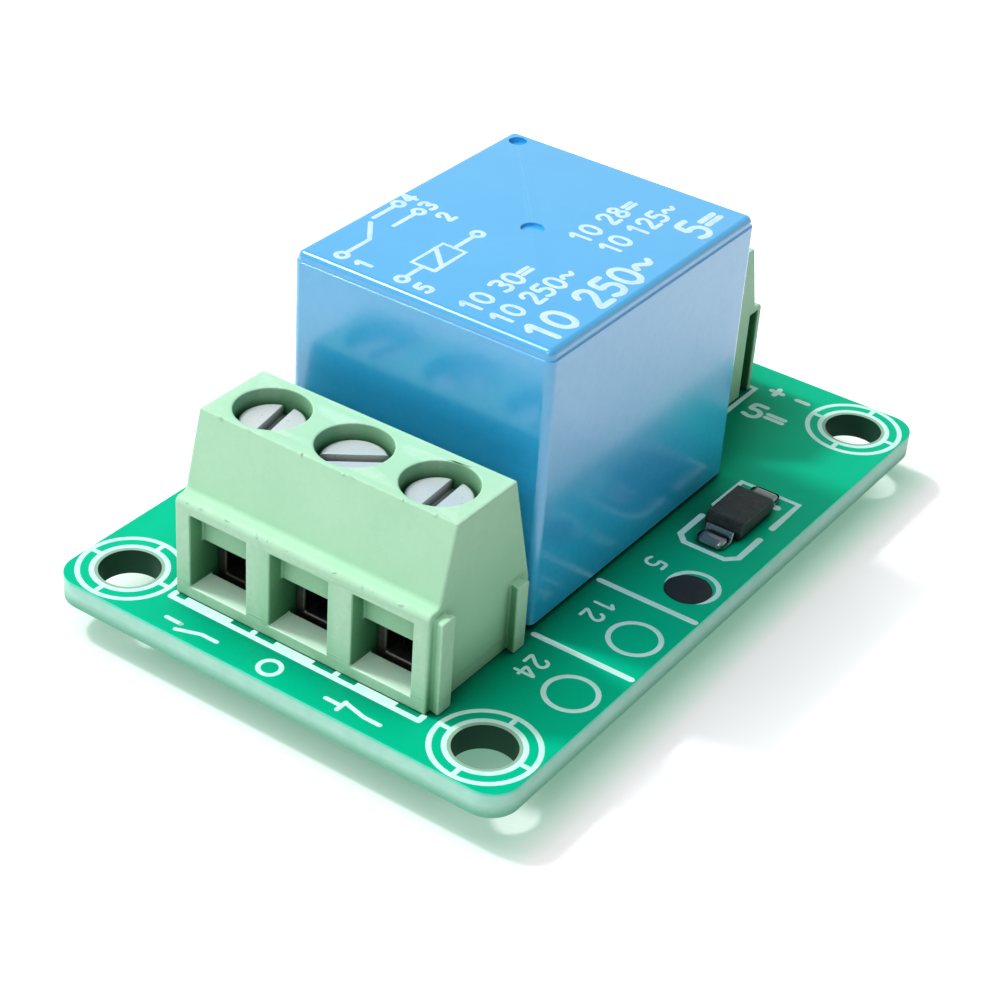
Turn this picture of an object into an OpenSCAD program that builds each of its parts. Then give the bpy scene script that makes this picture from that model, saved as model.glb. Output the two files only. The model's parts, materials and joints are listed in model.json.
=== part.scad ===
// Relay module board: one change-over relay between a three way and a two way
// screw terminal, with its suppression diode, on a drilled board.
// Origin: centre of the board in plan, at the tips of the solder pins.
// +X runs along the board towards the two way input terminal, +Z up.

/* [Board] */
// Width of the board
board_w = 28; // [26:0.5:36]
// Thickness of the board
board_t = 1.5; // [0.8:0.1:2.4]
// Radius of the board's corners
corner_r = 1.6; // [0.5:0.1:2.8]
// Diameter of the four mounting holes
mount_d = 3.2; // [2.2:0.1:3.6]
// Distance of each mounting hole from both edges
mount_inset = 2.85; // [2.4:0.05:3.2]
// How far the pins stand out below the board
pin_reach = 1.9; // [1.2:0.1:3]

/* [Screw terminals] */
// Distance between neighbouring poles
pitch = 5.08; // [4.9:0.02:5.3]
// Height of the housings
block_h = 10; // [9.4:0.1:12]
// Depth of the housings at the board
block_d = 8.35; // [8.1:0.05:8.6]
// Distance from each housing's wire side to the board's edge
edge_gap = 2.85; // [2:0.05:3.2]
// Wall at each end of a housing
end_wall = 0.92; // [0.9:0.02:1.4]
// Sideways place of the three way housing
output_shift = 0.2; // [-0.5:0.1:0.5]
// Sideways place of the two way housing
input_shift = 1; // [-2:0.1:2]
// Height of the lip over the wire openings
lip_z = 5.8; // [5.5:0.1:6.4]
// Width of a wire opening
entry_w = 3.6; // [3.2:0.05:3.7]
// Height of a wire opening at the face
entry_h = 4.3; // [3.8:0.05:4.4]
// Diameter of the bore over each screw
head_bore_d = 3.9; // [3.7:0.05:4.1]
// Diameter of a screw's head
head_d = 3.5; // [3.2:0.05:3.6]
// Depth of the screw heads below the housing's top
head_recess = 0.75; // [0.3:0.05:1]
// Diameter of a screw's thread
thread_d = 2.5; // [2:0.1:2.6]
// Way that a cage rises as it clamps
cage_travel = 2.25; // [1.8:0.05:2.3]

/* [Relay] */
// Length of the relay's case
relay_l = 19; // [18.6:0.1:19.6]
// Width of the relay's case
relay_w = 15.5; // [15:0.1:16.4]
// Height of the relay's case
relay_h = 15.8; // [15:0.1:18]
// Wall of the case
case_wall = 0.8; // [0.6:0.05:0.9]
// Radius of the case's edges
case_r = 0.5; // [0.2:0.05:0.7]
// Gap between the case and the board
relay_lift = 0.3; // [0.2:0.05:0.6]
// Gap between the output terminal and the relay
relay_clear = 0.25; // [0.15:0.05:0.6]
// Gap between the relay and the input terminal
relay_gap = 0.85; // [0.3:0.05:6]
// Diameter of the coil's winding
winding_d = 9.8; // [8.4:0.1:10.2]
// Diameter of the iron core
core_d = 4; // [3:0.1:4.4]
// Thickness of the yoke
yoke_t = 1.2; // [1:0.05:1.3]
// Thickness of the armature
armature_t = 1; // [0.8:0.05:1.2]
// Thickness of the contact spring
leaf_t = 0.3; // [0.2:0.02:0.35]
// Gap between the open contacts
contact_gap = 0.56; // [0.54:0.01:0.7]

/* [Diode] */
// Length of the diode's body
diode_l = 3.7; // [3.2:0.1:4.2]
// Width of the diode's body
diode_w = 2.3; // [1.8:0.1:2.7]
// Height of the diode
diode_h = 1.1; // [0.9:0.1:2.2]

/* [Hidden] */
$fn = 48;
cut = 1;                     // overrun of every cutting shape past its face
board_l = 2*edge_gap + 2*block_d + relay_clear + relay_l + relay_gap;
top_z = pin_reach + board_t; // upper face of the board
output_poles = 3;
input_poles = 2;
output_slots = [4, -52, 10]; // turn of each screw's slot
input_slots = [35, -20];

// Housing section
floor_z = 0.7;                                // under the wire openings
lip_r = 0.36;                                 // nose of the lip
face_lean = 14.3;                             // upper front face, from upright
top_front = 1.87;                             // where the top face starts
top_d = 4.78;                                 // depth of the top face
back_z = 3.6;                                 // top of the upright back
lintel_u = 0.96;                              // face of the wall over each opening
pocket_u = 1.63;                              // depth of the wire pocket
screw_u = top_front + 2.3;                    // screw axis from the wire side
bar_t = 0.6;                                  // contact bar
bar_z = floor_z + 2.4;                        // under the contact bar
bar_w = 2;
leg_t = 0.7;                                  // soldered leg of the bar
pin_w = 1;
slack = 0.05;                                 // play of the sliding cage
cage_wall = 0.6;
cage_top_t = 1;
cage_l = 4.3;
cage_w = entry_w - 2*slack;
cage_z = bar_z - 2*slack - cage_travel - cage_wall;  // underside of the cage when open
cage_h = cage_wall + cage_travel + 2*slack + bar_t + slack + cage_top_t;
chamber_top = cage_z + cage_h + cage_travel + 2*slack;
chamber_u = screw_u + cage_l/2 + 0.13;        // back of the cage's chamber
leg_u = chamber_u + 0.2;                      // front of the leg
head_top = block_h - head_recess;
ledge_z = chamber_top + 0.5;                  // seat under the screw head
head_h = head_top - ledge_z;
head_edge = 0.15;                             // chamfer round the head
shank_play = 0.3;                             // bore under the seat over the thread
slot_w = 0.8;
slot_depth = 0.9;

// Ribs that join housings side by side: [start, width, height]
ribs = [[0.3, 1.1, 5.4], [6.6, 1, 4]];
rib_out = 0.55;
rib_root = 0.2;                               // rib sunk into the wall
rib_flare = 0.15;
rib_play = 0.05;

// Relay
relay_x = -board_l/2 + edge_gap + block_d + relay_clear + relay_l/2;
cap_h = 0.57;                                 // rounded cap above the mould line
cap_step = 0.1;
base_t = 1.5;
base_z = relay_lift + 0.2;
deck = base_z + base_t;                       // floor that the works stand on
pin_side = relay_w/2 - 1.75;                  // outer pins from the middle
common_x = relay_l/2 - 2.4;
coil_pin_in = 2;                              // coil pins nearer the middle than the common
contact_x = -common_x;
coil_pin_x = common_x - coil_pin_in;
strip_t = 0.5;
pin_t = 0.5;
yoke_w = 9;
yoke_back = common_x - strip_t/2;
yoke_front = yoke_back - yoke_t;
core_x = yoke_front - winding_d/2 - 0.1;
flange_t = 0.9;
tube_d = core_d + 1.3;                        // bobbin's tube
pole_t = 0.9;
pole_d = core_d + 2.4;
inner_top = relay_lift + relay_h - case_wall;
headroom = 0.5;
rivet_t = 0.2;
button_t = 0.4;                               // contact buttons
button_d = 2.6;
shank_d = 1.2;
touch = 0.02;                                 // gap between faces that meet
nc_arm_z = inner_top - headroom - rivet_t - strip_t;
leaf_z = nc_arm_z - 2*button_t - touch - leaf_t;
hinge_z = leaf_z - armature_t;                // armature's underside and yoke's top
pull_gap = 0.36;                              // armature over the pole at rest
pole_z = hinge_z - pull_gap;
winding_z = deck + yoke_t + flange_t;
winding_h = pole_z - pole_t - 0.05 - flange_t - winding_z;
no_top = leaf_z - button_t - contact_gap;     // face of the normally open contact
arm_w = 2.4;
leaf_w = 5;
leaf_tip = 3;
rivet_d = 1;                                  // rivets that hold the spring
rivet_y = 1.5;
armature_front = core_x - pole_d/2 - 0.5;
slit = 0.04;                                  // play of a pin in its slot
dimples = [[0.4, 0.2, 1, 0.15],               // [x, y, diameter, depth]: gate and vent
           [relay_l/2 - 1.05, relay_w/2 - 1.05, 0.7, 0.3]];
stand_d = 1.2;                                // feet under the relay
stand_in = [1.2, 2.6];                        // their distance from the base's edges
tail_h = 3;                                   // spring's tail behind the yoke
shoulder = 1;                                 // wide part of the spring past the armature
flange_rim = 0.7;                             // flange past the coil pins
common_w = 4;
rivet_head = [1.7, 0.35];                     // [times rivet_d, height]
wire_turn = 0.4;                              // wire's end wound round a coil pin

// Diode
diode_in = [15.5, 3.2];                       // from the board's two edges
diode_x = board_l/2 - diode_in[0];
diode_y = -(board_w/2 - diode_in[1]);
lead_t = 0.2;
lead_out = 1.1;
lead_w = 1.7;
lead_z = 0.45;
draft = 0.12;                                 // slope of the body's faces

drill_extra = 0.2;                            // drilled hole over the pin's diagonal
joint_d = 2.5;
joint_h = 1.1;

function arc(u, z, r, a0, a1, n = 8) =
    [for (i = [0:n]) let (a = a0 + (a1 - a0)*i/n) [u + r*cos(a), z + r*sin(a)]];

function pole_y(n, i) = (i - (n + 1)/2)*pitch;

function block_w(n) = (n - 1)*pitch + entry_w + 2*end_wall;

// Section of a housing: lip, hollow above it, leaning face, top and sloped back
function block_section() =
    let (slope_z = lip_z + lip_r, ft = tan(face_lean))
    let (hollow_u = top_front - (block_h - slope_z + lip_r*sin(face_lean))*ft - lip_r*cos(face_lean))
    concat([[0, 0], [block_d, 0], [block_d, back_z], [top_front + top_d, block_h],
            [top_front, block_h]],
           arc(hollow_u, slope_z, lip_r, -face_lean, -90),
           arc(lip_r, lip_z - lip_r, lip_r, 90, 180));

module box(lo, hi) {
    translate(lo) cube(hi - lo);
}

module rounded_plate(l, w, h, r) {
    linear_extrude(h) {
        square([l - 2*r, w], center = true);
        square([l, w - 2*r], center = true);
        for (x = [-1, 1], y = [-1, 1])
            translate([x*(l/2 - r), y*(w/2 - r)]) circle(r);
    }
}

module on_output() {
    translate([-board_l/2 + edge_gap, output_shift, top_z]) children();
}

module on_input() {
    translate([board_l/2 - edge_gap, input_shift, top_z]) rotate([0, 0, 180]) children();
}

module on_relay() {
    translate([relay_x, 0, top_z]) children();
}

// Places of the drilled pin holes, each [x, y, pin length, pin width]
function block_pins(n) = [for (i = [1:n]) [leg_u + leg_t/2, pole_y(n, i), leg_t, pin_w]];

function relay_pins() = [
    [contact_x, pin_side, pin_w, strip_t], [contact_x, -pin_side, pin_w, strip_t],
    [common_x, 0, strip_t, pin_w],
    [coil_pin_x, pin_side, pin_t, pin_t], [coil_pin_x, -pin_side, pin_t, pin_t]
];

module drill(pins) {
    for (p = pins)
        translate([p[0], p[1], -board_t - cut])
            cylinder(h = board_t + 2*cut, d = norm([p[2], p[3]]) + drill_extra);
}

module circuit_board() {
    color([0.03, 0.5, 0.38])
    difference() {
        translate([0, 0, pin_reach]) rounded_plate(board_l, board_w, board_t, corner_r);
        for (x = [-1, 1], y = [-1, 1])
            translate([x*(board_l/2 - mount_inset), y*(board_w/2 - mount_inset), pin_reach - cut])
                cylinder(h = board_t + 2*cut, d = mount_d);
        on_output() drill(block_pins(output_poles));
        on_input() drill(block_pins(input_poles));
        on_relay() drill(relay_pins());
    }
}

// Solder cone under each pin, hollow in its flank, with the pin's own section left out
module joints(pins) {
    r = joint_d/2;
    for (p = pins)
        translate([p[0], p[1], -board_t])
            difference() {
                mirror([0, 0, 1]) rotate_extrude()
                    polygon([[0, 0], [r, 0], [r, 0.1], [0.72*r, 0.4*joint_h],
                             [0.56*r, 0.75*joint_h], [0.5*r, joint_h], [0, joint_h]]);
                translate([-p[2]/2, -p[3]/2, -joint_h - cut])
                    cube([p[2], p[3], joint_h + 2*cut]);
            }
}

module solder_joints() {
    color([0.78, 0.79, 0.8]) {
        on_output() joints(block_pins(output_poles));
        on_input() joints(block_pins(input_poles));
        on_relay() joints(relay_pins());
    }
}

// Dovetail rib on one side of a housing, and with play the groove for it
module rib(r, play) {
    neck = [r[0] + rib_flare - play, r[0] + r[1] - rib_flare + play];
    polygon([[neck[0], rib_root], [neck[0], 0], [r[0] - play, -rib_out - play],
             [r[0] + r[1] + play, -rib_out - play], [neck[1], 0], [neck[1], rib_root]]);
}

module housing(n) {
    w = block_w(n);
    color([0.62, 0.86, 0.7])
    difference() {
        union() {
            translate([0, w/2, 0]) rotate([90, 0, 0]) linear_extrude(w) polygon(block_section());
            for (r = ribs) translate([0, -w/2, 0]) linear_extrude(r[2]) rib(r, 0);
        }
        for (r = ribs)
            translate([0, w/2, -cut]) linear_extrude(r[2] + cut + rib_play)
                rib(r, rib_play);
        for (i = [1:n]) translate([0, pole_y(n, i), 0]) {
            box([-cut, -entry_w/2, floor_z], [lintel_u, entry_w/2, floor_z + entry_h]);
            box([-cut, -entry_w/2, floor_z], [pocket_u + cut, entry_w/2, bar_z]);
            box([pocket_u, -entry_w/2, -cut], [chamber_u, entry_w/2, chamber_top]);
            box([chamber_u - cut, -bar_w/2 - slack, -cut],
                [leg_u + leg_t + slack, bar_w/2 + slack, bar_z + bar_t + slack]);
            translate([screw_u, 0, chamber_top - cut])
                cylinder(h = block_h, d = thread_d + shank_play);
            translate([screw_u, 0, ledge_z]) cylinder(h = block_h, d = head_bore_d);
        }
    }
}

module clamp_screw(n, i, turn) {
    color([0.85, 0.86, 0.88])
    translate([screw_u, pole_y(n, i), 0])
    difference() {
        union() {
            translate([0, 0, bar_z + bar_t + 3*slack])
                cylinder(h = ledge_z - bar_z - bar_t, d = thread_d);
            translate([0, 0, ledge_z])
                rotate_extrude() polygon([[0, 0], [head_d/2, 0], [head_d/2, head_h - head_edge],
                                          [head_d/2 - head_edge, head_h], [0, head_h]]);
        }
        translate([0, 0, head_top - slot_depth]) rotate([0, 0, turn])
            translate([-head_d, -slot_w/2, 0]) cube([2*head_d, slot_w, slot_depth + cut]);
    }
}

module cage(n, i) {
    color([0.8, 0.78, 0.7])
    translate([screw_u, pole_y(n, i), cage_z])
    difference() {
        box([-cage_l/2, -cage_w/2, 0], [cage_l/2, cage_w/2, cage_h]);
        box([-cage_l, -cage_w/2 + cage_wall, cage_wall],
            [cage_l, cage_w/2 - cage_wall, cage_h - cage_top_t]);
        cylinder(h = cage_h + cut, d = thread_d + 2*slack);
    }
}

// Bent contact: bar over the wire, leg down the back, pin through the board
module contact(n, i) {
    color([0.86, 0.8, 0.62])
    translate([0, pole_y(n, i), 0]) {
        box([pocket_u + 0.1, -bar_w/2, bar_z], [leg_u + leg_t, bar_w/2, bar_z + bar_t]);
        box([leg_u, -bar_w/2, 0], [leg_u + leg_t, bar_w/2, bar_z + bar_t]);
        box([leg_u, -pin_w/2, -top_z], [leg_u + leg_t, pin_w/2, bar_z]);
    }
}

module output_housing() { on_output() housing(output_poles); }
module output_screw(i) { on_output() clamp_screw(output_poles, i, output_slots[i - 1]); }
module output_cage(i) { on_output() cage(output_poles, i); }
module output_contact(i) { on_output() contact(output_poles, i); }
module input_housing() { on_input() housing(input_poles); }
module input_screw(i) { on_input() clamp_screw(input_poles, i, input_slots[i - 1]); }
module input_cage(i) { on_input() cage(input_poles, i); }
module input_contact(i) { on_input() contact(input_poles, i); }

// Upright section with both top corners rounded
module round_topped(l, h, r) {
    translate([-l/2, 0]) square([l, h - r]);
    translate([-l/2 + r, 0]) square([l - 2*r, h]);
    for (x = [-1, 1]) translate([x*(l/2 - r), h - r]) circle(r);
}

module case_body() {
    l = relay_l - 2*cap_step;
    w = relay_w - 2*cap_step;
    rounded_plate(relay_l, relay_w, relay_h - cap_h, case_r);
    translate([0, 0, relay_h - cap_h - case_r]) intersection() {
        rounded_plate(l, w, cap_h + case_r, case_r);
        translate([0, relay_w, 0]) rotate([90, 0, 0])
            linear_extrude(2*relay_w) round_topped(l, cap_h + case_r, case_r);
        translate([-relay_l, 0, 0]) rotate([90, 0, 90])
            linear_extrude(2*relay_l) round_topped(w, cap_h + case_r, case_r);
    }
}

module relay_cover() {
    color([0.2, 0.6, 0.88])
    on_relay() translate([0, 0, relay_lift])
    difference() {
        case_body();
        translate([0, 0, -cut])
            rounded_plate(relay_l - 2*case_wall, relay_w - 2*case_wall,
                          relay_h - case_wall + cut, case_r);
        for (m = dimples) translate([m[0], m[1], relay_h - m[3]]) cylinder(h = cut, d = m[2]);
    }
}

module relay_base() {
    l = relay_l - 2*case_wall;
    w = relay_w - 2*case_wall;
    color([0.1, 0.12, 0.14])
    on_relay() difference() {
        union() {
            translate([0, 0, base_z]) rounded_plate(l, w, base_t, case_r + 0.1);
            for (x = [-1, 1], y = [-1, 1])
                translate([x*(l/2 - stand_in[0]), y*(w/2 - stand_in[1]), 0])
                    cylinder(h = base_z + base_t/2, d = stand_d);
        }
        for (p = relay_pins())
            translate([p[0] - p[2]/2 - slit, p[1] - p[3]/2 - slit, 0])
                cube([p[2] + 2*slit, p[3] + 2*slit, deck + cut]);
    }
}

// Bent iron: foot under the coil and a leg up to the hinge edge
module yoke() {
    color([0.55, 0.56, 0.58])
    on_relay() difference() {
        union() {
            box([core_x - core_d/2 - 1.5, -yoke_w/2, deck], [yoke_back, yoke_w/2, deck + yoke_t]);
            box([yoke_front, -yoke_w/2, deck], [yoke_back, yoke_w/2, hinge_z]);
        }
        translate([core_x, 0, deck - cut])
            cylinder(h = yoke_t + 2*cut, d = core_d - 1 + 2*touch);
    }
}

module iron_core() {
    color([0.6, 0.6, 0.62])
    on_relay() translate([core_x, 0, 0]) {
        translate([0, 0, deck]) cylinder(h = yoke_t, d = core_d - 1);
        translate([0, 0, deck + yoke_t]) cylinder(h = pole_z - deck - yoke_t, d = core_d);
        translate([0, 0, pole_z - pole_t]) cylinder(h = pole_t, d = pole_d);
    }
}

module coil_bobbin() {
    front = core_x - winding_d/2 - 0.3;
    flange_w = 2*(pin_side + flange_rim);
    color([0.9, 0.88, 0.8])
    on_relay() difference() {
        union() {
            box([front, -flange_w/2, winding_z - flange_t], [yoke_front, flange_w/2, winding_z]);
            box([front, -winding_d/2, winding_z + winding_h],
                [yoke_front, winding_d/2, winding_z + winding_h + flange_t]);
            translate([core_x, 0, winding_z]) cylinder(h = winding_h, d = tube_d);
        }
        translate([core_x, 0, 0]) cylinder(h = inner_top, d = core_d + 2*slit);
        for (s = [-1, 1])
            box([coil_pin_x - pin_t/2 - slit, s*pin_side - pin_t/2 - slit, deck],
                [coil_pin_x + pin_t/2 + slit, s*pin_side + pin_t/2 + slit, winding_z + cut]);
    }
}

module coil_winding() {
    color([0.72, 0.36, 0.16])
    on_relay() translate([core_x, 0, winding_z])
    difference() {
        cylinder(h = winding_h, d = winding_d);
        translate([0, 0, -cut]) cylinder(h = winding_h + 2*cut, d = tube_d + 2*touch);
    }
}

module coil_pins() {
    color([0.82, 0.82, 0.84])
    on_relay() for (s = [-1, 1]) {
        box([coil_pin_x - pin_t/2, s*pin_side - pin_t/2, -top_z],
            [coil_pin_x + pin_t/2, s*pin_side + pin_t/2, winding_z + 4*wire_turn]);
        box([coil_pin_x - pin_t, s*pin_side - pin_t, winding_z],
            [coil_pin_x + pin_t, s*pin_side + pin_t, winding_z + wire_turn]);
    }
}

module armature() {
    color([0.6, 0.6, 0.62])
    on_relay() box([armature_front, -yoke_w/2, hinge_z], [yoke_back, yoke_w/2, leaf_z]);
}

// Leaf on the armature: narrow tip for the contact, bend and tail behind the yoke
module contact_spring() {
    rear = yoke_back + touch + leaf_t;
    color([0.8, 0.55, 0.3])
    on_relay() difference() {
        union() {
            box([armature_front - shoulder, -leaf_w/2, leaf_z], [rear, leaf_w/2, leaf_z + leaf_t]);
            box([contact_x - leaf_tip/2, -leaf_tip/2, leaf_z],
                [armature_front, leaf_tip/2, leaf_z + leaf_t]);
            box([rear - leaf_t, -leaf_w/2, hinge_z - tail_h], [rear, leaf_w/2, leaf_z + leaf_t]);
        }
        translate([contact_x, 0, leaf_z - cut])
            cylinder(h = leaf_t + 2*cut, d = shank_d + 2*touch);
        for (s = [-1, 1]) translate([core_x, s*rivet_y, leaf_z - cut])
            cylinder(h = leaf_t + 2*cut, d = rivet_d + 2*touch);
    }
}

module spring_rivets() {
    color([0.7, 0.7, 0.72])
    on_relay() for (s = [-1, 1]) translate([core_x, s*rivet_y, leaf_z]) {
        cylinder(h = leaf_t, d = rivet_d);
        translate([0, 0, leaf_t]) cylinder(h = rivet_head[1], d = rivet_head[0]*rivet_d);
    }
}

module moving_contact() {
    color([0.85, 0.84, 0.8])
    on_relay() translate([contact_x, 0, leaf_z]) {
        cylinder(h = leaf_t, d = shank_d);
        translate([0, 0, -button_t]) cylinder(h = button_t, d = button_d);
        translate([0, 0, leaf_t]) cylinder(h = button_t, d = button_d);
    }
}

// Fixed terminal: pin, upright strip and an arm that reaches the middle
module fixed_terminal(side, arm_z) {
    past = arm_w/2;                           // arm beyond the middle
    difference() {
        union() {
            translate([contact_x, side*pin_side, 0]) {
                box([-pin_w/2, -strip_t/2, -top_z], [pin_w/2, strip_t/2, deck + cut]);
                box([-arm_w/2, -strip_t/2, deck], [arm_w/2, strip_t/2, arm_z + strip_t]);
            }
            translate([contact_x, side*(pin_side - past)/2, arm_z + strip_t/2])
                cube([arm_w, pin_side + past, strip_t], center = true);
        }
        translate([contact_x, 0, arm_z - cut])
            cylinder(h = strip_t + 2*cut, d = shank_d + 2*touch);
    }
}

module fixed_contact(arm_z, face) {
    translate([contact_x, 0, arm_z]) {
        cylinder(h = strip_t, d = shank_d);
        translate([0, 0, face > 0 ? strip_t : -button_t]) cylinder(h = button_t, d = button_d);
        translate([0, 0, face > 0 ? -rivet_t : strip_t]) cylinder(h = rivet_t, d = 1.5*shank_d);
    }
}

module nc_terminal() {
    color([0.83, 0.68, 0.4]) on_relay() fixed_terminal(1, nc_arm_z);
}

module no_terminal() {
    color([0.83, 0.68, 0.4]) on_relay() fixed_terminal(-1, no_top - button_t - strip_t);
}

module nc_contact() {
    color([0.85, 0.84, 0.8]) on_relay() fixed_contact(nc_arm_z, -1);
}

module no_contact() {
    color([0.85, 0.84, 0.8]) on_relay() fixed_contact(no_top - button_t - strip_t, 1);
}

module common_terminal() {
    color([0.83, 0.68, 0.4])
    on_relay() translate([common_x, 0, 0]) {
        box([-strip_t/2, -common_w/2, deck],
            [strip_t/2, common_w/2, hinge_z - tail_h - leaf_t]);
        box([-strip_t/2, -pin_w/2, -top_z], [strip_t/2, pin_w/2, deck + 1]);
    }
}

module on_diode() {
    translate([diode_x, diode_y, top_z]) children();
}

module diode_body() {
    t = draft;
    mid = lead_z + lead_t/2;
    color([0.12, 0.12, 0.13])
    on_diode() intersection() {
        translate([0, diode_w, 0]) rotate([90, 0, 0]) linear_extrude(2*diode_w)
            polygon([[-diode_l/2 + t, t/2], [diode_l/2 - t, t/2], [diode_l/2, mid],
                     [diode_l/2 - 2*t, diode_h], [-diode_l/2 + 2*t, diode_h], [-diode_l/2, mid]]);
        translate([-diode_l, 0, 0]) rotate([90, 0, 90]) linear_extrude(2*diode_l)
            polygon([[-diode_w/2 + t, 0], [diode_w/2 - t, 0], [diode_w/2, mid],
                     [diode_w/2 - t, diode_h + cut], [-diode_w/2 + t, diode_h + cut],
                     [-diode_w/2, mid]]);
    }
}

module diode_leads() {
    color([0.85, 0.86, 0.88])
    on_diode() for (m = [0, 1]) mirror([m, 0, 0]) translate([diode_l/2, lead_w/2, 0])
        rotate([90, 0, 0]) linear_extrude(lead_w)
            polygon([[0, lead_z], [0.1, lead_z], [0.25, 0], [lead_out, 0], [lead_out, lead_t],
                     [0.4, lead_t], [0.25, lead_z + lead_t], [0, lead_z + lead_t]]);
}

module diode_solder() {
    color([0.78, 0.79, 0.8])
    on_diode() for (m = [0, 1]) mirror([m, 0, 0])
        translate([diode_l/2 + lead_out, lead_w/2, 0])
            rotate([90, 0, 0]) linear_extrude(lead_w)
                polygon([[0, 0], [0.3, 0], [0.1, 0.08], [0, lead_t]]);
}

circuit_board();
solder_joints();
relay_cover();
relay_base();
coil_bobbin();
coil_winding();
iron_core();
yoke();
armature();
contact_spring();
spring_rivets();
moving_contact();
nc_terminal();
nc_contact();
no_terminal();
no_contact();
common_terminal();
coil_pins();
output_housing();
output_screw(1);  // output_screw_1
output_screw(2);  // output_screw_2
output_screw(3);  // output_screw_3
output_cage(1);  // output_cage_1
output_cage(2);  // output_cage_2
output_cage(3);  // output_cage_3
output_contact(1);  // output_contact_1
output_contact(2);  // output_contact_2
output_contact(3);  // output_contact_3
input_housing();
input_screw(1);  // input_screw_1
input_screw(2);  // input_screw_2
input_cage(1);  // input_cage_1
input_cage(2);  // input_cage_2
input_contact(1);  // input_contact_1
input_contact(2);  // input_contact_2
diode_body();
diode_leads();
diode_solder();
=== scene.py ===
import bpy
import json
import math
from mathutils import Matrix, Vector

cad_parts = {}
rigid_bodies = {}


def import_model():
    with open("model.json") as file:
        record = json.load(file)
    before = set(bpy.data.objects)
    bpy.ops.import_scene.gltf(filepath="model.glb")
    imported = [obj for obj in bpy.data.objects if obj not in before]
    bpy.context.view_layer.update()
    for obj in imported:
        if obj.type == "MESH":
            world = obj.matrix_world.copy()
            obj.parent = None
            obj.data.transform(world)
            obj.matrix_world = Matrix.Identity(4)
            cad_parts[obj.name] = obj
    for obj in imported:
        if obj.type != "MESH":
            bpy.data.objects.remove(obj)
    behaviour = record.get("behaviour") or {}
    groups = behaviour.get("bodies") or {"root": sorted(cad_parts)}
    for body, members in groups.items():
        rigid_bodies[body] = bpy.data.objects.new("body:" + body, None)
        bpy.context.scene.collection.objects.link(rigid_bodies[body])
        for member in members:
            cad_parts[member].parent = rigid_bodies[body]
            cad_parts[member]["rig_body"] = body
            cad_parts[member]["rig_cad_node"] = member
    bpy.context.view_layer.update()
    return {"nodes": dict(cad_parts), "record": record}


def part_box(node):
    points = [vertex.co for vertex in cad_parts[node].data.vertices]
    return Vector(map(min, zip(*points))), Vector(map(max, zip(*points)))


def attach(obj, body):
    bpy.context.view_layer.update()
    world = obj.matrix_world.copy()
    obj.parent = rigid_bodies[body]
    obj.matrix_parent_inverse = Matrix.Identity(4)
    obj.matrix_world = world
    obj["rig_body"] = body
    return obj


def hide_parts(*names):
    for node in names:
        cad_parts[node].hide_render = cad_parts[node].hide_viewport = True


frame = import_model()
nodes = frame["nodes"]
scene = bpy.context.scene
mm = 0.001


def boxOf(name):
    low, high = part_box(name)
    return low / mm, high / mm


boardLow, boardHigh = boxOf("circuit_board")
caseLow, caseHigh = boxOf("relay_cover")
boardTop = boardHigh.z
boardUnder = boardLow.z

# camera and light
cameraSetup = {
    "place": (-0.08913, -0.05648, 0.07323),
    "turn": (56.2608, -3.5241, -54.8852),
    "lens": 83.643,
}
bpy.ops.object.camera_add(
    location=cameraSetup["place"],
    rotation=[math.radians(a) for a in cameraSetup["turn"]],
)
camera = bpy.context.active_object
camera.name = "tableCamera"
camera.data.lens = cameraSetup["lens"]
camera.data.sensor_width = 36
camera.data.clip_start = 0.001
scene.camera = camera
scene.view_settings.view_transform = "Standard"


def areaLamp(name, toward, distance, size, watts, aim=(0, 0, 0.008), tint=(1, 1, 1)):
    direction = Vector(toward).normalized()
    place = Vector(aim) + direction * distance
    bpy.ops.object.light_add(type="AREA", location=place)
    lamp = bpy.context.active_object
    lamp.name = name
    lamp.rotation_euler = direction.to_track_quat("Z", "Y").to_euler()
    lamp.data.shape = "DISK"
    lamp.data.size = size
    lamp.data.energy = watts
    lamp.data.color = tint
    return lamp


lampSetup = {
    "key": {"toward": (-0.14, 0.54, 0.83), "distance": 0.6, "size": 0.36, "watts": 1.0},
    "spot": {"toward": (-0.12, 0.56, 0.82), "distance": 0.6, "size": 0.07, "watts": 1.75},
    "side": {"toward": (-0.72, 0.05, 0.68), "distance": 0.6, "size": 0.4, "watts": 0.8},
    "over": {"toward": (-0.1, -0.05, 1.0), "distance": 0.6, "size": 0.6, "watts": 0.5},
}
for lampName, values in lampSetup.items():
    areaLamp(lampName + "Lamp", **values)

worldSetup = {"shown": 1.0, "horizon": 0.2, "zenith": 0.26, "bandTop": 0.5, "glossZenith": 0.55}
world = bpy.data.worlds.new("paleStudio")
scene.world = world
world.use_nodes = True


def put(tree, kind, sockets=None, **settings):
    node = tree.nodes.new("ShaderNode" + kind)
    for key, value in settings.items():
        setattr(node, key, value)
    for key, value in (sockets or {}).items():
        if isinstance(value, bpy.types.NodeSocket):
            tree.links.new(value, node.inputs[key])
        else:
            node.inputs[key].default_value = value
    return node


def maths(tree, operation, *values):
    return put(tree, "Math", dict(enumerate(values)), operation=operation).outputs[0]


def ownPlace(tree):
    return put(tree, "TexCoord").outputs["Object"]


def facingUp(tree):
    return put(tree, "SeparateXYZ", {0: put(tree, "NewGeometry").outputs["Normal"]}).outputs["Z"]


def seenDirectly(tree):
    rays = put(tree, "LightPath")
    first = maths(tree, "ADD", rays.outputs["Is Camera Ray"], rays.outputs["Is Glossy Ray"])
    both = put(tree, "Math", {0: first, 1: rays.outputs["Is Transmission Ray"]},
               operation="ADD", use_clamp=True)
    return both.outputs[0]


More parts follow.
